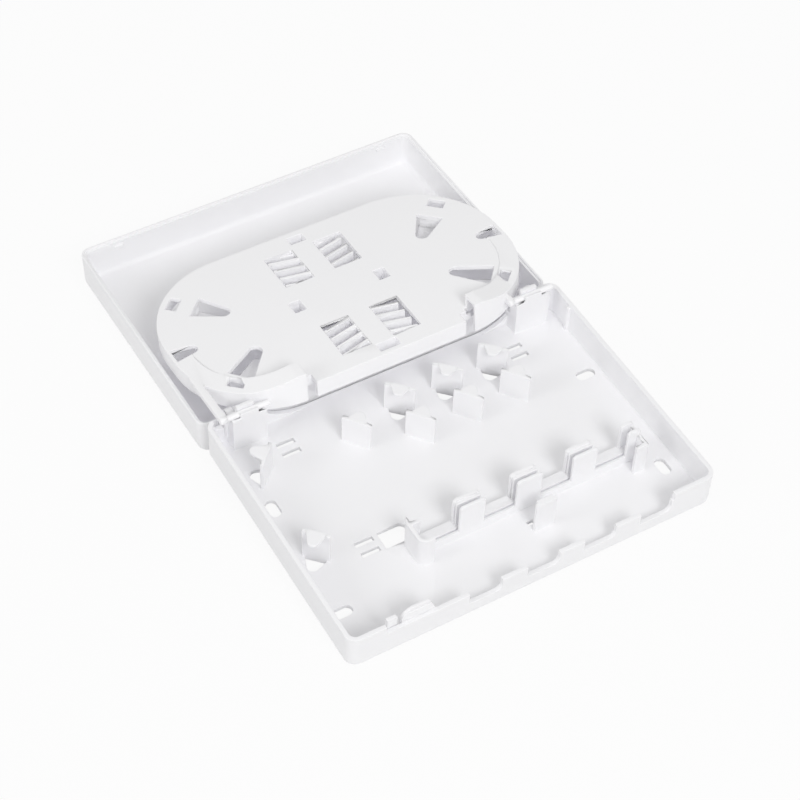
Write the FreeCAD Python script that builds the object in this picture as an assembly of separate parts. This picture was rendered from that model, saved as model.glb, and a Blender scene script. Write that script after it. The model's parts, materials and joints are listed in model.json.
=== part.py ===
import FreeCAD, Part
import os
from math import asin, atan2, cos, hypot, sin, sqrt

os.makedirs("parts", exist_ok=True)
V = FreeCAD.Vector

# Fibre termination box, opened like a book: base, cover and splice tray.
# Frame: centre of the base's underside, X along the hinges, Y to the hinge side, Z up.

# Housing
WIDTH = 153.0
DEPTH = 111.0
BASE_H = 15.0
COVER_H = 17.0
WALL = 1.8
FLOOR = 2.0
CORNER_R = 4.5
BASE_EDGE = 1.0
COVER_EDGE = 4.0
RIM_GAP = 0.3

# Hinge axes, as (Y, Z), and the swing from closed to the opened pose
COVER_AXIS = (56.8, 12.8)
COVER_SWING = 183.34
COVER_SIDE_PLAY = -0.6
TRAY_AXIS = (50.3, 18.65)
TRAY_SLOPE = -6.66

# Ports in the front wall and the adapter rack behind them
PORT_CENTRES = (-22.0, 2.0, 26.0, 50.0)
PORT_W = 13.5
PORT_SILL = 6.0
PORT_FILLET = 2.7
FRONT_LOW = 11.3
FRONT_LOW_X = (-62.0, 57.5)
PITCH = 24.0
POST_X = -15.8
POST_W = 10.6
RACK_REAR = -20.8
RACK_FRONT = -26.9
RAIL_T = 1.5
FRONT_RAIL_T = 1.2
GROOVE = (0.8, 1.6)
RIB_T = 0.9
RIB_GAP = 0.5
REAR_TOP = 18.3
FRONT_TOP = 19.4
CHAMFER = 0.9

# Opening in the rear wall: floor level between two coves, as (X at floor level, radius)
LEFT_COVE = (-33.0, 32.0)
RIGHT_COVE = (41.5, 19.0)

# Fibre hooks: blade and round-nosed lip at its top, above a hole of the same shape in the floor
HOOK_T = 1.5
LIP_HALF_W = 3.8
NOSE_R = 2.1
LIP_REACH = 4.7
LONG_LIP_REACH = 6.2
LIP_T = 1.3
HOLE_PLAY = 0.3
FRONT_HOOK_TOP = 15.3
REAR_HOOK_TOP = 16.1
LEFT_HOOK_TOP = 16.6
FRONT_HOOKS = ((-26.5, 29.4), (-4.2, 20.6), (16.8, 21.0), (37.7, 21.1))
REAR_HOOKS = ((-4.3, 36.0), (16.5, 35.9), (36.9, 36.2))

# Floor holes: pairs of cable-tie slots, and wall-fixing slots with their angle
TIES = ((-49.75, 39.75), (50.65, 39.9), (-46.4, -14.2))
TIE_HALF_X = 3.7
TIE_HALF_Y = 1.1
TIE_STEP = 2.5
FIXINGS = ((-68.0, 17.2, 90), (-68.0, -34.7, 0), (68.0, 17.2, 0), (68.3, -34.7, 90))
FIXING = (8.0, 4.4)

# Hinge blocks
BLOCK_Y = (48.0, 52.9)
BLOCK_TOP = 18.0
LEFT_BLOCK_X = (-68.1, -53.8)
RIGHT_BLOCK_X = (54.8, 69.8)
JAW_X = (-64.7, 58.6)
JAW_W = 7.4
PIN_R = 1.2
PIN_PLAY = 0.06
LUG_R = 2.3
LUG_X = (64.0, 67.0)
LUG_POCKET = 9.8

# Splice tray, in its own plane: u across, v from the hinge edge, w up
TRAY_HALF_W = 73.2
TRAY_HALF_D = 41.6
TRAY_MID_V = 41.2
TRAY_R = 37.7
TRAY_T = 2.0
TRAY_RIM = 7.6
TRAY_RIM_T = 1.6
TRAY_PIN = (0.75, -1.3)
WINDOW = (12.5, 19.3)
WINDOW_U = 10.85
WINDOW_V = (16.9, 63.2)
FIN_PITCH = 5.05
FIN_SLOPE = 13.0
FIN_HALF_T = 0.6
FIN_FIRST = (-8.0, -10.0)
FIN_END_GAP = 1.25
CHUTE_W = 7.7
CHUTE_T = 1.4
CHUTE_MOUTH_U = 36.4
CHUTE_PROFILE = ((40.0, 6.0), (57.0, 0.8), (66.0, 0.0))
NOTCH_W = 4.0
NOTCH_V = 4.4
NOTCH_WALL = (1.2, 5.0)
FINGER_T = 1.2
FINGER_PLAY = 0.3
LEAF_W = (5.6, 11.0)
LEAF_ENDS = (((44.2, 27.0), (55.2, 17.6)), ((44.6, 53.8), (53.0, 62.1)))
SIDE_LEAF_V = 40.6
CORNER_HOLE = (7.0, 4.6)
CORNER_HOLES = ((58.6, 14.4), (59.3, 67.8))


def box(x0, x1, y0, y1, z0, z1):
    return Part.makeBox(x1 - x0, y1 - y0, z1 - z0, V(x0, y0, z0))


def prism(points, z0, z1):
    corners = [V(x, y, z0) for x, y in points]
    return Part.Face(Part.makePolygon(corners + corners[:1])).extrude(V(0, 0, z1 - z0))


def panel(points, origin, along, thickness):
    """A flat plate standing on the floor: (s, z) profile, thickened to both sides."""
    a = V(along[0], along[1], 0).normalize()
    n = V(-a.y, a.x, 0)
    start = V(origin[0], origin[1], 0) - n * (thickness / 2)
    corners = [start + a * s + V(0, 0, z) for s, z in points]
    return Part.Face(Part.makePolygon(corners + corners[:1])).extrude(n * thickness)


def round_plan(hx, hy, r, z0, z1, cx=0.0, cy=0.0):
    """Upright prism on a rectangle with round corners."""
    k = r * (1 - sqrt(0.5))
    edges = []
    last = None
    for sx, sy in ((1, 1), (-1, 1), (-1, -1), (1, -1)):
        on_side = V(cx + sx * hx, cy + sy * (hy - r), z0)
        on_end = V(cx + sx * (hx - r), cy + sy * hy, z0)
        mid = V(cx + sx * (hx - k), cy + sy * (hy - k), z0)
        a, b = (on_side, on_end) if sx == sy else (on_end, on_side)
        if last is None:
            first = a
        elif (a - last).Length > 1e-6:
            edges.append(Part.makeLine(last, a))
        edges.append(Part.Arc(a, mid, b).toShape())
        last = b
    if (first - last).Length > 1e-6:
        edges.append(Part.makeLine(last, first))
    return Part.Face(Part.Wire(edges)).extrude(V(0, 0, z1 - z0))


def slot(cx, cy, length, width, angle, z0, z1):
    s = round_plan(length / 2, width / 2, width / 2 - 0.01, z0, z1)
    s.rotate(V(0, 0, 0), V(0, 0, 1), angle)
    s.translate(V(cx, cy, 0))
    return s


def rod(x0, x1, axis, r):
    return Part.makeCylinder(r, x1 - x0, V(x0, axis[0], axis[1]), V(1, 0, 0))


def edges_at(shape, z):
    """Edges of a solid that lie in the level z."""
    return [e for e in shape.Edges if all(abs(p.Point.z - z) < 1e-4 for p in e.Vertexes)]


def fuse(shapes):
    return shapes[0].multiFuse(shapes[1:]).removeSplitter()


def nosed(root, toward, half, r, reach, z0, z1):
    """Level plate with a straight root edge that tapers to a round nose."""
    t = V(-toward.y, toward.x, 0)
    c = V(root.x, root.y, z0)
    nose = reach - r
    span = hypot(half, nose)
    turn = atan2(nose, half) + asin(r / span)
    side = t * (r * sin(turn))
    neck = c + toward * (nose + r * cos(turn))
    pts = [neck + side, c + t * half, c - t * half, neck - side]
    edges = [Part.makeLine(a, b) for a, b in zip(pts, pts[1:])]
    edges.append(Part.Arc(pts[3], c + toward * reach, pts[0]).toShape())
    return Part.Face(Part.Wire(edges)).extrude(V(0, 0, z1 - z0))


# Base


def hook(mid, along, length, side, top, reach):
    """Blade with a slightly crowned top edge and a lip at its side; returns solid and floor hole."""
    h = length / 2
    profile = [(-h, 1), (h, 1), (h, top - 0.7), (0.4 * h, top), (-0.4 * h, top), (-h, top - 0.5)]
    blade = panel(profile, mid, along, HOOK_T)
    toward = V(-along[1], along[0], 0).normalize() * side
    root = V(mid[0], mid[1], 0)
    lip = nosed(root, toward, LIP_HALF_W, NOSE_R, reach, top - LIP_T, top)
    face = root + toward * (HOOK_T / 2)
    play = HOLE_PLAY
    reach = reach - HOOK_T / 2 + play
    hole = nosed(face, toward, LIP_HALF_W + play, NOSE_R + play, reach, -1, FLOOR + 1)
    return blade.fuse(lip), hole


def cove(foot, r, x_end):
    """Concave end of the rear opening, from floor level up to a hinge block."""
    y0 = DEPTH / 2 - WALL - 0.2
    y1 = DEPTH / 2 + 1
    drum = Part.makeCylinder(r, y1 - y0, V(foot, y0, FLOOR + r), V(0, 1, 0))
    a, b = sorted((foot, x_end))
    return drum.common(box(a, b, y0, y1, FLOOR, FLOOR + r))


def rail(x0, x1, y0, thickness, top):
    """Rack plate with lead-in chamfers at its two upper corners."""
    c = CHAMFER
    profile = [(x0, 1), (x1, 1), (x1, top - c), (x1 - c, top), (x0 + c, top), (x0, top - c)]
    return panel(profile, (0, y0 + thickness / 2), (1, 0), thickness)


def rack():
    rear, front = RACK_REAR, RACK_FRONT
    # low block with a groove along its front rail
    back = front + FRONT_RAIL_T
    groove = box(-29.0, 60.5, back, back + GROOVE[0], PORT_SILL - GROOVE[1], PORT_SILL + 1)
    parts = [box(-34.5, 61.0, front, rear, 1, PORT_SILL).cut(groove)]
    # posts of two plates, with a rib close to the rear one
    rib_back = rear - RAIL_T - RIB_GAP
    for k in range(4):
        x0 = POST_X + k * PITCH
        x1 = x0 + POST_W if k < 3 else 61.5
        parts.append(rail(x0, x1, rear - RAIL_T, RAIL_T, REAR_TOP))
        parts.append(rail(x0, x1, front, FRONT_RAIL_T, FRONT_TOP))
        if k < 3:
            parts.append(box(x0 + 0.25, x1 - 0.25, rib_back - RIB_T, rib_back, 1, REAR_TOP - 0.4))
            parts.append(box(x0 + 1.5, x1 - 1.5, rib_back - 0.1, rear - 1, 1, REAR_TOP - 0.4))
    # curved end wall on the left
    outer = round_plan(6.0, 7.0, 3.5, 1, 15.8, -28.5, -24.5)
    inner = round_plan(4.5, 7.0, 2.0, 0, 17, -28.5, -23.0)
    end = outer.cut(inner).common(box(-40, -28.6, -40, -18.2, 0, 20))
    parts.append(end)
    parts.append(box(-33.5, -29.4, rear - RAIL_T, rear, 1, 15.8))
    # end cell on the right
    profile = [(rear, 1), (rear, REAR_TOP - 2), (front, REAR_TOP - 2), (-32.5, 16.5), (-32.5, 1)]
    side = [V(60.0, y, z) for y, z in profile]
    parts.append(Part.Face(Part.makePolygon(side + side[:1])).extrude(V(1.5, 0, 0)))
    parts.append(box(56.5, 61.0, -32.5, -31.0, 1, 16.5))
    # snap blade in front of the second post
    parts.append(box(9.9, 18.5, -37.5, -36.0, 1, 16.8))
    parts.append(box(11.0, 17.5, -36.2, -34.9, 15.3, 16.8))
    return parts


def port(centre):
    x0, x1 = centre - PORT_W / 2, centre + PORT_W / 2
    z0, r = PORT_SILL, PORT_FILLET
    y = -DEPTH / 2 - 1
    k = r * (1 - sqrt(0.5))
    pts = [V(x1, y, z0 + r), V(x1, y, 20), V(x0, y, 20), V(x0, y, z0), V(x1 - r, y, z0)]
    edges = [Part.makeLine(a, b) for a, b in zip(pts, pts[1:])]
    edges.append(Part.Arc(pts[-1], V(x1 - k, y, z0 + k), pts[0]).toShape())
    return Part.Face(Part.Wire(edges)).extrude(V(0, WALL + 1.4, 0))


def cable_tab():
    """Round-shouldered tab behind the front wall, at the cable entry; its top clears the cover."""
    y, r = -DEPTH / 2 + WALL - 0.2, 5.0
    x0, x1, top = -55.4, -42.0, 16.4
    k = r * (1 - sqrt(0.5))
    pts = [V(x0 + r, y, top), V(x1 - 2, y, top), V(x1, y, 12), V(x1, y, 1), V(x0, y, 1), V(x0, y, top - r)]
    edges = [Part.makeLine(a, b) for a, b in zip(pts, pts[1:])]
    edges.append(Part.Arc(pts[-1], V(x0 + k, y, top - k), pts[0]).toShape())
    tab = Part.Face(Part.Wire(edges)).extrude(V(0, 1.7, 0))
    return tab.cut(box(x0, x1, y, y + 0.5, BASE_H, top + 1))


def hinge_block(x0, x1, j0):
    """Hollow block with a clip of two jaws that holds a tray pin; ears for the cover behind."""
    y0, y1 = BLOCK_Y
    side = 1 if x0 > 0 else -1
    body = box(x0, x1, y0, y1, 1, BLOCK_TOP).cut(box(x0 + 1.5, x1 - 1.5, y0 + 1.2, y1 - 1.4, 7, 30))
    back = box(x0, x1, y1 - 0.2, DEPTH / 2, 1, LUG_POCKET)
    front_jaw = box(j0, j0 + JAW_W, y0, y0 + 0.95, BLOCK_TOP - 1, 20.6)
    rear_jaw = box(j0, j0 + JAW_W - 0.4, y1 - 1.5, y1, BLOCK_TOP - 1, 21.0)
    parts = [body, back, front_jaw, rear_jaw]
    cy, cz = COVER_AXIS
    for e0, e1 in ((LUG_X[0] - 2.2, LUG_X[0] - 0.2), (LUG_X[1] + 0.2, LUG_X[1] + 2.2)):
        a, b = sorted((side * e0, side * e1))
        ear = rod(a, b, COVER_AXIS, 1.9).fuse(box(a, b, y1 - 0.5, cy, cz - 1.9, cz + 1.9))
        parts.append(ear.fuse(box(a, b, y1 - 0.5, DEPTH / 2, 5, cz)))
    a, b = sorted((side * (LUG_X[0] - 1), side * (LUG_X[1] + 1)))
    parts.append(rod(a, b, COVER_AXIS, PIN_R))
    return fuse(parts).cut(rod(x0 - 1, x1 + 1, TRAY_AXIS, PIN_R + PIN_PLAY))


def make_base():
    hx, hy = WIDTH / 2, DEPTH / 2
    shell = round_plan(hx, hy, CORNER_R, 0, BASE_H)
    shell = shell.makeFillet(BASE_EDGE, edges_at(shell, 0))
    base = shell.cut(round_plan(hx - WALL, hy - WALL, CORNER_R - WALL, FLOOR, BASE_H + 1))
    inside = hy - WALL - 0.2
    cuts = [box(FRONT_LOW_X[0], FRONT_LOW_X[1], -hy - 1, -inside, FRONT_LOW, 20)]
    cuts += [port(c) for c in PORT_CENTRES]
    # rear opening between the hinge blocks, and pockets for the cover's hinge lugs
    cuts.append(box(LEFT_COVE[0], RIGHT_COVE[0], inside, hy + 1, FLOOR, 20))
    cuts += [cove(*LEFT_COVE, LEFT_BLOCK_X[1]), cove(*RIGHT_COVE, RIGHT_BLOCK_X[0])]
    for s in (-1, 1):
        a, b = sorted((s * 53.0, s * (LUG_X[1] + 2.4)))
        cuts.append(box(a, b, BLOCK_Y[1] + 0.05, hy + 1, LUG_POCKET, 20))
    cuts.append(box(-73.0, -69.0, inside, hy + 1, 10.4, 20))
    base = base.cut(cuts[0].multiFuse(cuts[1:]))

    parts = [base] + rack() + [cable_tab()]
    parts += [hinge_block(*LEFT_BLOCK_X, JAW_X[0]), hinge_block(*RIGHT_BLOCK_X, JAW_X[1])]
    parts.append(box(-60.9, -56.9, -inside - 0.1, -inside + 1.5, 1, 15.5))
    for x in (59.6, 64.8):
        parts.append(box(x, x + 1.6, -inside - 0.1, -inside + 1.2, 1, 12.6))
    parts.append(box(hx - WALL - 1.2, hx - WALL + 0.2, 40.0, 41.6, 1, BASE_H - 0.6))

    parts += [hook(mid, (1, -1.25), 11.8, 1, FRONT_HOOK_TOP, LIP_REACH)[0] for mid in FRONT_HOOKS]
    pierced = [hook(mid, (1, -1), 12.0, -1, REAR_HOOK_TOP, LIP_REACH) for mid in REAR_HOOKS]
    pierced.append(hook((-63.4, 31.0), (1, 1), 11.0, 1, LEFT_HOOK_TOP, LONG_LIP_REACH))
    pierced.append(hook((-64.5, -9.4), (1, -1), 10.6, -1, LEFT_HOOK_TOP, LONG_LIP_REACH))
    parts += [solid for solid, hole in pierced]
    holes = [hole for solid, hole in pierced]
    # cable-tie slots, cable hole, moulding hole and wall-fixing slots in the floor
    for x, y in TIES:
        for mid in (y - TIE_STEP, y + TIE_STEP):
            tie = box(x - TIE_HALF_X, x + TIE_HALF_X, mid - TIE_HALF_Y, mid + TIE_HALF_Y, -1, FLOOR + 1)
            holes.append(tie)
    corner = round_plan(5.5, 4.0, 2.5, -1, FLOOR + 1, -35.2, -14.4)
    holes.append(corner.fuse(box(-40.7, -35.2, -18.4, -10.4, -1, FLOOR + 1)))
    holes.append(box(9.6, 12.4, -34.2, -32.4, -1, FLOOR + 1))
    for x, y, angle in FIXINGS:
        holes.append(slot(x, y, FIXING[0], FIXING[1], angle, -1, FLOOR + 1))
    return fuse(parts).cut(holes[0].multiFuse(holes[1:])).removeSplitter()


# Cover


def make_cover():
    """Plain lid with rounded outer edges; modelled closed, then swung open."""
    hx, hy, dx = WIDTH / 2, DEPTH / 2, COVER_SIDE_PLAY
    z0 = BASE_H + RIM_GAP
    z1 = BASE_H + COVER_H
    shell = round_plan(hx, hy, CORNER_R, z0, z1, dx)
    shell = shell.makeFillet(COVER_EDGE, edges_at(shell, z1))
    room = round_plan(hx - WALL, hy - WALL, CORNER_R - WALL, z0 - 1, z1 - FLOOR, dx)
    room = room.makeFillet(COVER_EDGE - FLOOR, edges_at(room, z1 - FLOOR))
    rebate = round_plan(hx - 0.9, hy - 0.9, CORNER_R - 0.9, z0 - 1, z0 + 0.8, dx)
    cover = shell.cut(room).cut(rebate)
    parts = []
    cy, cz = COVER_AXIS
    for s in (-1, 1):
        a, b = sorted((s * (LUG_X[0] - 2.5), s * (LUG_X[1] + 2.5)))
        cover = cover.cut(box(a, b, hy - WALL - 0.5, hy + 1, z0 - 1, cz + 5.4))
        a, b = sorted((s * LUG_X[0], s * LUG_X[1]))
        link = box(a, b, hy - WALL, hy, cz, cz + 6.0)
        web = box(a, b, hy - WALL, cy, cz, cz + LUG_R)
        lug = rod(a, b, COVER_AXIS, LUG_R).multiFuse([link, web])
        parts.append(lug.cut(rod(a - 1, b + 1, COVER_AXIS, PIN_R + PIN_PLAY)))
    # catches on the closing side
    for x in (-62.3, 59.7):
        parts.append(box(x, x + 4.0, -hy + WALL - 0.2, -hy + WALL + 0.9, z0 + 2.4, z0 + 3.6))
    cover = fuse([cover] + parts)
    cover.rotate(V(0, cy, cz), V(1, 0, 0), -COVER_SWING)
    return cover


# Splice tray


def bar(a, b, w_a, w_b, w0, w1):
    """Straight bar or opening in the tray's plane from a to b, as wide as w_a and w_b there."""
    n = V(a[1] - b[1], b[0] - a[0], 0).normalize()
    p, q = V(a[0], a[1], 0), V(b[0], b[1], 0)
    corners = (p + n * (w_a / 2), q + n * (w_b / 2), q - n * (w_b / 2), p - n * (w_a / 2))
    return prism([(c.x, c.y) for c in corners], w0, w1)


def leaf(tip, end, w_tip, w_end, w0, w1):
    """Wedge with a round tip in the tray's plane."""
    round_tip = Part.makeCylinder(w_tip / 2, w1 - w0, V(tip[0], tip[1], w0))
    return bar(tip, end, w_tip, w_end, w0, w1).fuse(round_tip)


def outline(inset, w0, w1):
    hw, hd, r = TRAY_HALF_W - inset, TRAY_HALF_D - inset, TRAY_R - inset
    return round_plan(hw, hd, r, w0, w1, 0, TRAY_MID_V)


def chute(side):
    """Hollow ramp along the rim, rising to its open mouth; returns ramp, cuts and notch wall."""
    near, hinge_v = CHUTE_MOUTH_U, TRAY_MID_V - TRAY_HALF_D
    top_u, top = CHUTE_PROFILE[0]

    def wedge(drop, grow):
        slope = [(u - 2.2 * drop, w - drop) for u, w in CHUTE_PROFILE[1:]]
        profile = [(near - grow, -TRAY_T - grow), (near - grow, top - drop), (top_u, top - drop)]
        profile += [*slope, (slope[-1][0], -TRAY_T - grow)]
        pts = [V(side * u, hinge_v, w) for u, w in profile]
        return Part.Face(Part.makePolygon(pts + pts[:1])).extrude(V(0, TRAY_HALF_D, 0))

    def band(inset, w0):
        return outline(inset, w0, 20).cut(outline(CHUTE_W - inset, w0 - 5, 21))

    ramp = band(0, -TRAY_T).common(wedge(0, 0))
    room = band(CHUTE_T, -TRAY_T - 2).common(wedge(CHUTE_T, 1.0))
    # notch through plate and rim before the mouth, with a short wall behind it
    a, b = sorted((side * near, side * (near - NOTCH_W)))
    notch = box(a, b, hinge_v - 1, NOTCH_V, -TRAY_RIM - 1, 1)
    wall = box(a - 1, b + 1, NOTCH_V, NOTCH_V + NOTCH_WALL[0], -NOTCH_WALL[1], -TRAY_T)
    return ramp, [room, notch], wall


def tray_corner(su, sv):
    """Leaf with its finger, corner hole with its tab, and window with its fins in one quarter."""
    bottom = -TRAY_RIM
    row = (sv + 1) // 2
    tip, end = [(su * u, v) for u, v in LEAF_ENDS[row]]
    a = V(end[0] - tip[0], end[1] - tip[1], 0).normalize()
    near, far = [(end[0] + a.x * d, end[1] + a.y * d) for d in (-0.2, 1.3)]
    cuts = [leaf(tip, end, *LEAF_W, -TRAY_T - 1, 1)]
    bars = [bar(near, far, 9.0, 9.0, bottom, -TRAY_T)]
    bars.append(leaf(tip, far, *[w - 2 * FINGER_PLAY for w in LEAF_W], bottom, bottom + FINGER_T))

    u, v = CORNER_HOLES[row]
    k = sqrt(0.5)
    along = [(su * (u + k * d), v + sv * k * d) for d in (-CORNER_HOLE[1] / 2, CORNER_HOLE[1] / 2, 4.0)]
    cuts.append(bar(along[0], along[1], CORNER_HOLE[0], CORNER_HOLE[0], -TRAY_T - 1, 1))
    tab_w = CORNER_HOLE[0] - 2 * FINGER_PLAY
    bars.append(bar(along[0], along[2], tab_w, tab_w, bottom, bottom + FINGER_T))

    cu, cv = su * WINDOW_U, WINDOW_V[row]
    hu, hv = WINDOW[0] / 2, WINDOW[1] / 2
    cuts.append(box(cu - hu, cu + hu, cv - hv, cv + hv, -TRAY_T - 1, 1))
    u0, u1 = sorted((-su * (hu + 0.4), su * (hu - FIN_END_GAP)))
    for k in range(4):
        fin = box(u0, u1, -FIN_HALF_T, FIN_HALF_T, bottom + 0.4, -0.2)
        fin.rotate(V(0, 0, 0), V(0, 0, 1), FIN_SLOPE * su * sv)
        fin.translate(V(cu, cv + FIN_FIRST[row] + k * FIN_PITCH, 0))
        bars.append(fin)
    return cuts, bars


def make_tray():
    """Stadium plate with its rim below; modelled level, then tilted onto its hinge axis."""
    shell = [outline(0, -TRAY_RIM, 0).cut(outline(TRAY_RIM_T, -TRAY_RIM - 1, -TRAY_T))]
    cuts, bars = [], []
    for su in (-1, 1):
        ramp, hollow, wall = chute(su)
        shell.append(ramp)
        cuts += hollow
        bars.append(wall)
        v = SIDE_LEAF_V
        cuts.append(leaf((su * 64.2, v), (su * 71.9, v), 4.4, 7.2, -TRAY_T - 1, 1))
        bars.append(bar((su * 66.0, v), (su * 72.0, v), 5.0, 5.0, -TRAY_RIM, FINGER_T - TRAY_RIM))
        cuts.append(box(su * 18.7 - 2.4, su * 18.7 + 2.4, 38.1, 44.4, -TRAY_T - 1, 1))
        for sv in (-1, 1):
            more_cuts, more_bars = tray_corner(su, sv)
            cuts += more_cuts
            bars += more_bars
    # slots beside the hinge edge and the far edge, each above a tab on the rim
    for u0, u1, v, rim_v in ((-3.8, 4.9, 3.9, 0.0), (-3.4, 3.4, 77.8, 82.4)):
        cuts.append(box(u0, u1, v - 2.2, v + 2.2, -TRAY_T - 1, 1))
        v0, v1 = min(v - 2.2, rim_v), max(v + 2.2, rim_v)
        bars.append(box(u0, u1, v0, v1, -TRAY_RIM, FINGER_T - TRAY_RIM))
    tray = fuse(shell).cut(cuts[0].multiFuse(cuts[1:]))
    bars = [b.common(outline(0.2, -20, 20)) for b in bars]

    # arm and pin on the left, knuckle and pin on the right
    pin_v = TRAY_PIN[0]
    arm = box(-72.3, -69.4, pin_v, 27.0, -2.4, 0).fuse(rod(-72.3, -69.4, TRAY_PIN, 1.5))
    knuckle = box(52.2, 54.4, pin_v, 8.0, -2.6, 0.2).fuse(rod(52.2, 54.4, TRAY_PIN, 1.5))
    pins = [rod(-70.0, -52.0, TRAY_PIN, PIN_R), rod(53.0, 72.0, TRAY_PIN, PIN_R)]
    tray = fuse([tray, arm, knuckle] + bars + pins)
    tray.translate(V(0, -TRAY_PIN[0], -TRAY_PIN[1]))
    tray.rotate(V(0, 0, 0), V(1, 0, 0), TRAY_SLOPE)
    tray.translate(V(0, TRAY_AXIS[0], TRAY_AXIS[1]))
    return tray


for name, shape in (("base", make_base()), ("cover", make_cover()), ("splice_tray", make_tray())):
    print(name, len(shape.Solids), round(shape.Volume), shape.isValid())
    shape.exportStep("parts/" + name + ".step")
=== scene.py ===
# %% [markdown]
# # A fibre termination box, opened like a book
#
# The box is three white mouldings: a base with ports and hooks, a plain cover, and a splice tray.
# Their solids come from the CAD frame. This lesson gives them a plastic that looks moulded, softens
# their edges, adds a few small walls that the solids lack, and sets up a camera and a white studio.

# %% Load the frame
import json
from math import cos, radians, sin

import bmesh
import bpy
import numpy as np
from mathutils import Matrix, Vector
from mathutils.bvhtree import BVHTree


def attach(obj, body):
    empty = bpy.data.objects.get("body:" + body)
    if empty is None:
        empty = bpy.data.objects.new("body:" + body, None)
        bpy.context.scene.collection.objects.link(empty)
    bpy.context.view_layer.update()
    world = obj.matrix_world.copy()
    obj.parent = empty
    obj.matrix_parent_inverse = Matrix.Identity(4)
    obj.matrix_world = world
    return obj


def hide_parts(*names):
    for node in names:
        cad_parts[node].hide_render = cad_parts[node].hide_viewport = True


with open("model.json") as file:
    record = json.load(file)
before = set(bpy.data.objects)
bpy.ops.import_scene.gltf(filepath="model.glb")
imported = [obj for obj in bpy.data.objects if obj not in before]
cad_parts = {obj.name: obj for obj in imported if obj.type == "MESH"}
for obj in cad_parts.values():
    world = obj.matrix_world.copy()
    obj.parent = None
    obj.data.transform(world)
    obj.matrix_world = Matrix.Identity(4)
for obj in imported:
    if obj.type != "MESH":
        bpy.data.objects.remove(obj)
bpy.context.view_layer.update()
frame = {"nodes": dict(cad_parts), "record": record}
scene = bpy.context.scene

# %% [markdown]
# ## How the box lies
#
# The frame's Z stands on the base's underside, but on the table the opened cover lies flat and lifts
# the base's hinge side. CAD pieces are never moved, so the table is the part that tilts here: its
# normal leans a little to +Y, and it passes through the base's front bottom edge.

# %% The table's own axes, seen from the base
TILT = radians(3.34)
FRONT_EDGE = Vector((0.0, -0.05557, 0.0))
TABLE = Matrix(((1, 0, 0), (0, cos(TILT), sin(TILT)), (0, -sin(TILT), cos(TILT))))


def on_table(x, y, z):
    """A point given in metres from the base's front bottom edge, along the table's axes."""
    return FRONT_EDGE + TABLE @ Vector((x, y, z))


print("table normal", [round(v, 4) for v in TABLE @ Vector((0, 0, 1))])

# %% [markdown]
# ## Camera
#
# The photograph looks down from the front left with a long lens. A camera can be placed by eye, but
# then edges never quite agree. Here the focal length and the angles were fitted to the straight edges
# of the two shells, with the ports' pitch as the yardstick.

# %% Place the camera
PICTURE_PX, SENSOR_MM, NEAR_CLIP = 800, 36.0, 0.01
FOCAL_PX = 2033.2
AZIMUTH, ELEVATION = radians(-29.98), radians(46.69)
OFFSET_RIGHT, OFFSET_UP, DISTANCE = 0.04903, -0.06469, 0.72384

away = Vector((sin(AZIMUTH) * cos(ELEVATION), -cos(AZIMUTH) * cos(ELEVATION), sin(ELEVATION)))
right = Vector((cos(AZIMUTH), sin(AZIMUTH), 0))
up = away.cross(right)
eye = away * DISTANCE - right * OFFSET_RIGHT - up * OFFSET_UP

camera = bpy.data.objects.new("camera", bpy.data.cameras.new("camera"))
scene.collection.objects.link(camera)
camera.data.sensor_width = SENSOR_MM
camera.data.lens = FOCAL_PX / PICTURE_PX * SENSOR_MM
camera.data.clip_start = NEAR_CLIP
turned = (TABLE @ Matrix((right, up, away)).transposed()).to_4x4()
camera.matrix_world = Matrix.Translation(on_table(*eye)) @ turned
scene.camera = camera
print("camera at", [round(v, 4) for v in camera.matrix_world.translation])

# %% [markdown]
# ## Plastic
#
# Moulded ABS is not a flat colour. The mould's fine spark texture breaks up the gloss, the flow of the
# melt leaves faint cloudy bands, and the colour is a cool white. Painted maps could show this, but
# noise on Object coordinates needs no unwrapping and has the same scale on every piece. One node
# group makes the two patterns, and each moulding places it with its own values.

# %% The mould-skin group
GRAIN_PER_METRE, CLOUD_PER_METRE = 2600.0, 28.0
GRAIN_DETAIL, CLOUD_DETAIL = 2.0, 3.0

skin = bpy.data.node_groups.new("mould_skin", "ShaderNodeTree")
for name, value in (("Grain per metre", GRAIN_PER_METRE), ("Cloud per metre", CLOUD_PER_METRE)):
    socket = skin.interface.new_socket(name, in_out="INPUT", socket_type="NodeSocketFloat")
    socket.default_value = value
for name in ("Cloud", "Grain"):
    skin.interface.new_socket(name, in_out="OUTPUT", socket_type="NodeSocketFloat")

enter, leave = skin.nodes.new("NodeGroupInput"), skin.nodes.new("NodeGroupOutput")
place = skin.nodes.new("ShaderNodeTexCoord")
for pattern, detail in (("Cloud", CLOUD_DETAIL), ("Grain", GRAIN_DETAIL)):
    noise = skin.nodes.new("ShaderNodeTexNoise")
    noise.inputs["Detail"].default_value = detail
    skin.links.new(place.outputs["Object"], noise.inputs["Vector"])
    skin.links.new(enter.outputs[pattern + " per metre"], noise.inputs["Scale"])
    skin.links.new(noise.outputs["Fac"], leave.inputs[pattern])
print("group", skin.name, [s.name for s in skin.interface.items_tree])

# %% A satin white with cloud, grain and bump
PLASTIC_IOR = 1.52
GLOSS_SPREAD = 0.05
GRAIN_BUMP, GRAIN_DEPTH = 0.08, 0.0001


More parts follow.
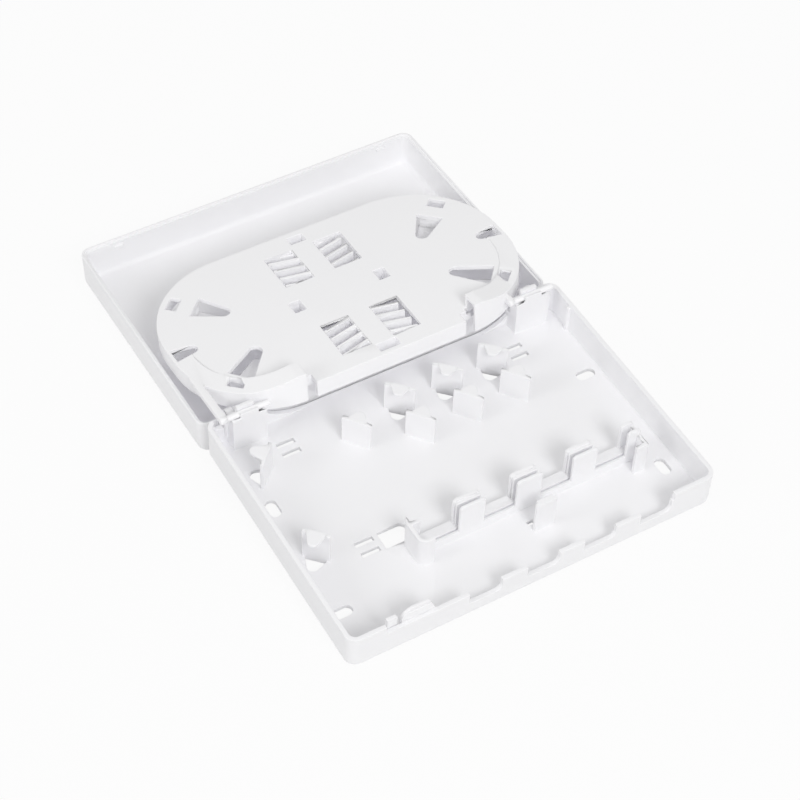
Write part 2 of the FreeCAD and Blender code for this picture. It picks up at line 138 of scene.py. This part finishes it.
def moulded_white(name, light, dark, roughness, cloud):
    """Satin white plastic: cloudy colour, grained gloss and a fine bump."""
    mat = bpy.data.materials.new(name)
    mat.use_nodes = True
    nodes, links = mat.node_tree.nodes, mat.node_tree.links
    shader = nodes["Principled BSDF"]
    shader.inputs["IOR"].default_value = PLASTIC_IOR
    group = nodes.new("ShaderNodeGroup")
    group.node_tree = skin
    group.inputs["Cloud per metre"].default_value = cloud
    # A Mix node has sockets for every kind of data: 6 and 7 are colours A and B, output 2 their mix.
    tint = nodes.new("ShaderNodeMix")
    tint.data_type = "RGBA"
    tint.inputs[6].default_value = (*dark, 1)
    tint.inputs[7].default_value = (*light, 1)
    links.new(group.outputs["Cloud"], tint.inputs[0])
    links.new(tint.outputs[2], shader.inputs["Base Color"])
    gloss = nodes.new("ShaderNodeMapRange")
    gloss.inputs["To Min"].default_value = roughness - GLOSS_SPREAD
    gloss.inputs["To Max"].default_value = roughness + GLOSS_SPREAD
    links.new(group.outputs["Grain"], gloss.inputs["Value"])
    links.new(gloss.outputs["Result"], shader.inputs["Roughness"])
    bump = nodes.new("ShaderNodeBump")
    bump.inputs["Strength"].default_value = GRAIN_BUMP
    bump.inputs["Distance"].default_value = GRAIN_DEPTH
    links.new(group.outputs["Grain"], bump.inputs["Height"])
    links.new(bump.outputs["Normal"], shader.inputs["Normal"])
    return mat


base_white = moulded_white("base_white", (0.928, 0.926, 0.938), (0.908, 0.906, 0.919), 0.42, 24.0)
cover_white = moulded_white("cover_white", (0.948, 0.946, 0.957), (0.928, 0.926, 0.938), 0.42, 20.0)
tray_white = moulded_white("tray_white", (0.968, 0.966, 0.975), (0.952, 0.95, 0.961), 0.45, 30.0)
print("finishes", base_white.name, cover_white.name, tray_white.name)

# %% [markdown]
# ## Soft edges
#
# A mould has no perfectly sharp edges, and a moulding shows it: every edge catches a thin line of
# light. Blender's Bevel rounds them, but on thin ribs and tight corners it can push faces through
# So the bevel is tried on a merged copy, the places where the mesh cuts itself are
# looked up, the edges next to them stay sharp, and it is tried again until no cut lies near a rounded
# edge.

# %% Find where a mesh cuts itself
MM = 0.001
EDGE_RADIUS, EDGE_STEPS = 0.25 * MM, 2
NEAR_CUT = 1.5 * EDGE_RADIUS


def self_cuts(bm):
    """Middles of the faces that pass through another face."""
    tree = BVHTree.FromBMesh(bm)
    bm.faces.ensure_lookup_table()
    spots = []
    for a, b in tree.overlap(tree):
        one, two = bm.faces[a], bm.faces[b]
        if a < b and not set(one.verts) & set(two.verts):
            spots += [one.calc_center_median(), two.calc_center_median()]
    return np.array(spots)


def away_from(edges, spots):
    """Indices of the edges that keep clear of every spot."""
    start, end = [np.array([e.verts[k].co for e in edges]) for k in (0, 1)]
    run = end - start
    clear = np.ones(len(edges), bool)
    for spot in spots:
        along = np.clip(((spot - start) * run).sum(1) / (run * run).sum(1), 0, 1)
        gap = start + run * along[:, None] - spot
        clear &= (gap * gap).sum(1) > NEAR_CUT ** 2
    return [e.index for e, c in zip(edges, clear) if c]


print("edge radius", EDGE_RADIUS, "in", EDGE_STEPS, "steps")

# %% Round the edges of one moulding
MERGE_BEFORE, MERGE_AFTER = 1e-6, 1e-7
FLAT_ANGLE, SHARP_ANGLE = 0.02, 0.6


def soft_copy(node, name):
    """Copy of a CAD node as one closed mesh whose sharp edges are rounded where there is room."""
    source = bmesh.new()
    source.from_mesh(frame["nodes"][node].data)
    bmesh.ops.remove_doubles(source, verts=source.verts, dist=MERGE_BEFORE)
    bmesh.ops.dissolve_limit(source, angle_limit=FLAT_ANGLE, verts=source.verts, edges=source.edges)
    source.edges.ensure_lookup_table()
    sharp = [e.index for e in source.edges if e.is_manifold and e.calc_face_angle(0) > SHARP_ANGLE]
    chosen, left = [], sharp
    while len(left) != len(chosen):
        chosen = left
        bm = source.copy()
        bm.edges.ensure_lookup_table()
        bmesh.ops.bevel(bm, geom=[bm.edges[i] for i in chosen], offset=EDGE_RADIUS, offset_type="OFFSET",
                        segments=EDGE_STEPS, profile=0.5, affect="EDGES", clamp_overlap=False)
        bmesh.ops.triangulate(bm, faces=bm.faces)
        bmesh.ops.remove_doubles(bm, verts=bm.verts, dist=MERGE_AFTER)
        left = away_from([source.edges[i] for i in chosen], self_cuts(bm))
    mesh = bpy.data.meshes.new(name)
    bm.to_mesh(mesh)
    print(name, "rounded", len(chosen), "of", len(sharp), "edges,", len(mesh.polygons), "triangles")
    return mesh


# %% [markdown]
# Rounded edges need normals to match: flat faces should stay flat, and only the narrow strips
# between them should turn the light. More bevel steps would help too, but at a high price in
# triangles. Weighted normals do it with few, because a large face then has the say at its corners.

# %% Three soft mouldings in place of the CAD nodes
CREASE_ANGLE = 0.9


def even_normals(mesh, name):
    """Object at the origin whose normals follow the larger face at each corner."""
    mesh.shade_smooth()
    mesh.set_sharp_from_angle(angle=CREASE_ANGLE)
    rough = bpy.data.objects.new(name + "_rough", mesh)
    scene.collection.objects.link(rough)
    rough.modifiers.new("weights", "WEIGHTED_NORMAL").keep_sharp = True
    seen = rough.evaluated_get(bpy.context.evaluated_depsgraph_get())
    final = bpy.data.meshes.new_from_object(seen)
    final.name = name
    bpy.data.objects.remove(rough)
    piece = bpy.data.objects.new(name, final)
    scene.collection.objects.link(piece)
    return piece


MOULDINGS = {
    "base": ("base_moulding", "base", "base_plastic", base_white),
    "cover": ("cover_moulding", "cover", "cover_plastic", cover_white),
    "splice_tray": ("tray_moulding", "tray", "tray_plastic", tray_white),
}
for node, (name, body, slot, finish) in MOULDINGS.items():
    piece = even_normals(soft_copy(node, name), name)
    piece.data.materials.append(finish)
    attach(piece, body)
    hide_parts(node)
print("mouldings", [row[0] for row in MOULDINGS.values()])

# %% [markdown]
# ## Rows of blocks
#
# Fins stand in rows under the tray's windows, and the posts of the adapter rack repeat along its rail.
# A loop could place each block. A Geometry Nodes tree says the same in a few nodes that can be read
# and changed in Blender: a line of points, one block on each, made real, with its finish.

# %% The tree that lays equal blocks in a row
block_row = bpy.data.node_groups.new("block_row", "GeometryNodeTree")
block_row.is_modifier = True
row_inputs = {}
for name, kind in (("Count", "Int"), ("First", "Vector"), ("Step", "Vector"), ("Size", "Vector"),
                   ("Turn", "Vector"), ("Finish", "Material")):
    socket = block_row.interface.new_socket(name, in_out="INPUT", socket_type="NodeSocket" + kind)
    row_inputs[name] = socket.identifier
block_row.interface.new_socket("Blocks", in_out="OUTPUT", socket_type="NodeSocketGeometry")

nodes = block_row.nodes
enter, leave = nodes.new("NodeGroupInput"), nodes.new("NodeGroupOutput")
line, block = nodes.new("GeometryNodeMeshLine"), nodes.new("GeometryNodeMeshCube")
turn, lay = nodes.new("FunctionNodeEulerToRotation"), nodes.new("GeometryNodeInstanceOnPoints")
real, paint = nodes.new("GeometryNodeRealizeInstances"), nodes.new("GeometryNodeSetMaterial")
for source, out, target, into in (
        (enter, "Count", line, "Count"), (enter, "First", line, "Start Location"),
        (enter, "Step", line, "Offset"), (enter, "Size", block, "Size"), (enter, "Turn", turn, "Euler"),
        (line, "Mesh", lay, "Points"), (block, "Mesh", lay, "Instance"),
        (turn, "Rotation", lay, "Rotation"), (lay, "Instances", real, "Geometry"),
        (real, "Geometry", paint, "Geometry"), (enter, "Finish", paint, "Material"),
        (paint, "Geometry", leave, "Blocks")):
    block_row.links.new(source.outputs[out], target.inputs[into])
print("tree", block_row.name, sorted(row_inputs))


# %% From the tree to a plain mesh, and from a mesh to a piece
def add_row(bm, **inputs):
    """Lay one row with the tree and join its plain mesh to what is there."""
    holder = bpy.data.objects.new("row_holder", bpy.data.meshes.new("row_holder"))
    scene.collection.objects.link(holder)
    row = holder.modifiers.new("row", "NODES")
    row.node_group = block_row
    for name, value in inputs.items():
        row[row_inputs[name]] = value
    seen = holder.evaluated_get(bpy.context.evaluated_depsgraph_get())
    blocks = bpy.data.meshes.new_from_object(seen)
    bpy.data.objects.remove(holder)
    bm.from_mesh(blocks)
    bpy.data.meshes.remove(blocks)


def small_piece(bm, name, finish):
    """Object at the origin, with its faces pointing outwards and one finish."""
    bmesh.ops.recalc_face_normals(bm, faces=bm.faces)
    mesh = bpy.data.meshes.new(name)
    bm.to_mesh(mesh)
    mesh.materials.clear()
    mesh.materials.append(finish)
    piece = bpy.data.objects.new(name, mesh)
    scene.collection.objects.link(piece)
    print(name, len(mesh.polygons), "faces")
    return piece


# %% [markdown]
# ## Wells and fins under the tray
#
# The four plain holes of the tray are deep: each goes down a square tube under the plate. The two
# windows far from the hinge have a fifth fin just behind their far edge, and in the two left windows
# the fins reach the outer edge. All of this is made in the tray's own plane, u across, v from the
# hinge and w upwards, and then laid on the tray's slope, because sizes are plain numbers there.

# %% The tray's own plane
TRAY_SLOPE = radians(-6.66)
PIN_V, PIN_W = 0.75, -1.3
tray_pin = next(j for j in frame["record"]["behaviour"]["joints"] if j["child"] == "tray")["pos_m"]


def on_tray(u, v, w):
    """A point of the tray's plane, in millimetres there and in metres here."""
    along, up_by = (v - PIN_V) * MM, (w - PIN_W) * MM
    y = tray_pin[1] + along * cos(TRAY_SLOPE) - up_by * sin(TRAY_SLOPE)
    return Vector((u * MM, y, tray_pin[2] + along * sin(TRAY_SLOPE) + up_by * cos(TRAY_SLOPE)))


print("tray pin at", tray_pin)

# %% Square tubes under the plain holes
TUBE_WALL, TUBE_PLAY, TUBE_TOP = 1.0, 0.05, -1.9
HOLES = (((-21.1, 38.1), (-16.3, 44.4), -7.0), ((16.3, 38.1), (21.1, 44.4), -7.0),
         ((-3.8, 1.7), (4.9, 6.1), -6.3), ((-3.4, 75.6), (3.4, 80.0), -6.3))
INNER, OUTER = TUBE_PLAY, TUBE_PLAY + TUBE_WALL

wells_bm = bmesh.new()
for (u0, v0), (u1, v1), bottom in HOLES:
    rings = []
    for grow, w in ((INNER, TUBE_TOP), (OUTER, TUBE_TOP), (OUTER, bottom), (INNER, bottom)):
        low_u, high_u, low_v, high_v = u0 - grow, u1 + grow, v0 - grow, v1 + grow
        corners = ((low_u, low_v), (high_u, low_v), (high_u, high_v), (low_u, high_v))
        rings.append([wells_bm.verts.new(on_tray(u, v, w)) for u, v in corners])
    for ring, after in zip(rings, rings[1:] + rings[:1]):
        for k in range(4):
            wells_bm.faces.new((ring[k], ring[k - 1], after[k - 1], after[k]))
print("tubes", len(HOLES))

# %% Fifth fins, and the ends of the left fins
WINDOW_U, WINDOW_V = 10.85, (16.9, 63.2)
FINS, FIN_FIRST, FIN_PITCH = 4, (-8.0, -10.0), 5.05
FIN_SLOPE, FIN_BOTTOM = radians(13.0), -7.2
FIFTH_REACH, FIFTH_T, FIFTH_TOP = (-6.65, 5.0), 1.2, -1.95
END_REACH, END_T, END_TOP = (-6.1, -4.7), 1.14, -0.23


def fin_row(middle, slope, reach, thick, top, count):
    """Upright fins, each turned about its middle, a pitch apart from the hinge outwards."""
    centre = (reach[0] + reach[1]) / 2
    u, v = middle[0] + centre * cos(slope), middle[1] + centre * sin(slope)
    step = on_tray(0, FIN_PITCH, 0) - on_tray(0, 0, 0)
    size = (abs(reach[1] - reach[0]) * MM, thick * MM, (top - FIN_BOTTOM) * MM)
    pose = Matrix.Rotation(TRAY_SLOPE, 3, "X") @ Matrix.Rotation(slope, 3, "Z")
    add_row(wells_bm, Count=count, First=tuple(on_tray(u, v, (top + FIN_BOTTOM) / 2)), Step=tuple(step),
            Size=size, Turn=tuple(pose.to_euler()), Finish=tray_white)


far_v = WINDOW_V[1] + FIN_FIRST[1] + FINS * FIN_PITCH
for side in (-1, 1):
    reach = [side * end for end in FIFTH_REACH]
    fin_row((side * WINDOW_U, far_v), side * FIN_SLOPE, reach, FIFTH_T, FIFTH_TOP, 1)
for row, lean in ((0, 1), (1, -1)):
    first_v = WINDOW_V[row] + FIN_FIRST[row]
    fin_row((-WINDOW_U, first_v), lean * FIN_SLOPE, END_REACH, END_T, END_TOP, FINS)
wells = small_piece(wells_bm, "tray_wells", tray_white)
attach(wells, "tray")

# %% [markdown]
# ## Closed post tops
#
# Each post of the adapter rack is two plates with a rib between them. Near the top the narrow gap
# beside the rib is closed at both ends, so the post looks solid from above. Each web could be drawn
# by hand, but the posts are a pitch apart, so the same tree lays one row for the left ends and one
# for the right.

# %% Small webs between rear plate and rib
POSTS, POST_X, POST_PITCH, POST_W = 3, -15.8, 24.0, 10.6
WEB_SIZE, WEB_INSET = (1.3, 0.6, 1.65), 0.95
WEB_Y, WEB_Z = -22.55, 17.025

webs_bm = bmesh.new()
for x in (POST_X + WEB_INSET, POST_X + POST_W - WEB_INSET):
    add_row(webs_bm, Count=POSTS, First=(x * MM, WEB_Y * MM, WEB_Z * MM), Step=(POST_PITCH * MM, 0, 0),
            Size=[side * MM for side in WEB_SIZE], Turn=(0.0, 0.0, 0.0), Finish=base_white)
webs = small_piece(webs_bm, "post_webs", base_white)
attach(webs, "base")

# %% [markdown]
# ## Table
#
# A product shot on white: a pale table that the camera sees as nearly white, with a trace of the
# object's shadow. More light would make it white too, but would bleach the box. So the paper itself
# stays pale grey for the light that it throws on the walls, and glows only for rays from the camera
# and for what plastic mirrors.

# %% The table top
TABLE_HALF, TABLE_DROP = 3.0, 0.2 * MM
PAPER_TONE, PAPER_GLOW = 0.76, 0.92

corners = ((-TABLE_HALF, -TABLE_HALF), (TABLE_HALF, -TABLE_HALF), (TABLE_HALF, TABLE_HALF),
           (-TABLE_HALF, TABLE_HALF))
mesh = bpy.data.meshes.new("table_top")
mesh.from_pydata([on_table(x, y, -TABLE_DROP) for x, y in corners], [], [(0, 1, 2, 3)])
table = bpy.data.objects.new("table_top", mesh)
scene.collection.objects.link(table)
print("table", len(mesh.polygons), "face")

# %% The table's paper
paper = bpy.data.materials.new("table_paper")
paper.use_nodes = True
nodes, links = paper.node_tree.nodes, paper.node_tree.links
nodes.clear()
sheet = nodes.new("ShaderNodeBsdfDiffuse")
sheet.inputs["Color"].default_value = (PAPER_TONE, PAPER_TONE, PAPER_TONE, 1)
glow = nodes.new("ShaderNodeEmission")
rays = nodes.new("ShaderNodeLightPath")
mix = nodes.new("ShaderNodeMixShader")
end = nodes.new("ShaderNodeOutputMaterial")
share = None
for ray in ("Is Camera Ray", "Is Glossy Ray", "Is Transmission Ray"):
    add = nodes.new("ShaderNodeMath")
    add.operation = "MULTIPLY_ADD"
    add.inputs[1].default_value = PAPER_GLOW
    add.inputs[2].default_value = 0.0
    links.new(rays.outputs[ray], add.inputs[0])
    if share:
        links.new(share.outputs[0], add.inputs[2])
    share = add
links.new(share.outputs[0], mix.inputs[0])
links.new(sheet.outputs[0], mix.inputs[1])
links.new(glow.outputs[0], mix.inputs[2])
links.new(mix.outputs[0], end.inputs["Surface"])
table.data.materials.append(paper)
print("paper", paper.name, "glow", PAPER_GLOW)

# %% [markdown]
# ## Light
#
# The photograph's shadows fall straight back from the posts, about as long as the posts are high, so
# the main soft box stands in front at half height. Weaker shadows to the right of the hooks ask for a
# second box on the left. An even pale room does the rest, which is simpler than more lamps and leaves
# no hard reflections on the satin plastic.

# %% Lamps and room
LOOK_AT = (0.0, 0.11, 0.0)
SOFT_BOXES = {"front_box": ((-0.05, -0.95, 0.9), 6.0), "left_box": ((-1.2, 0.05, 0.65), 2.3)}
BOX_SIZE, ROOM_LEVEL = 0.45, 0.66


def soft_box(name, place, watts):
    """Square lamp on the table's axes that looks at the middle of the opened box."""
    lamp = bpy.data.lights.new(name, "AREA")
    lamp.shape = "SQUARE"
    lamp.size = BOX_SIZE
    lamp.energy = watts
    stand = bpy.data.objects.new(name, lamp)
    scene.collection.objects.link(stand)
    spot = on_table(*place)
    look = (on_table(*LOOK_AT) - spot).to_track_quat("-Z", "Y")
    stand.matrix_world = Matrix.Translation(spot) @ look.to_matrix().to_4x4()


for name, (place, watts) in SOFT_BOXES.items():
    soft_box(name, place, watts)
room = bpy.data.worlds.new("pale_room")
scene.world = room
room.use_nodes = True
room.node_tree.nodes["Background"].inputs["Color"].default_value = (1, 1, 1, 1)
room.node_tree.nodes["Background"].inputs["Strength"].default_value = ROOM_LEVEL
scene.view_settings.view_transform = "Standard"
print("lamps", sorted(SOFT_BOXES), "room", ROOM_LEVEL)

# %% [markdown]
# White plastic hands on nearly all the light it gets, so light finds its way deep into the windows,
# wells and the room under the tray. Four diffuse bounces, which is the default, cut that short and
# leave the holes too dark. With more bounces they come out the light grey that the photograph shows.

# %% Let light bounce on in the white hollows
LIGHT_BOUNCES = 32
scene.cycles.diffuse_bounces = LIGHT_BOUNCES
scene.cycles.max_bounces = LIGHT_BOUNCES
print("bounces", scene.cycles.diffuse_bounces)
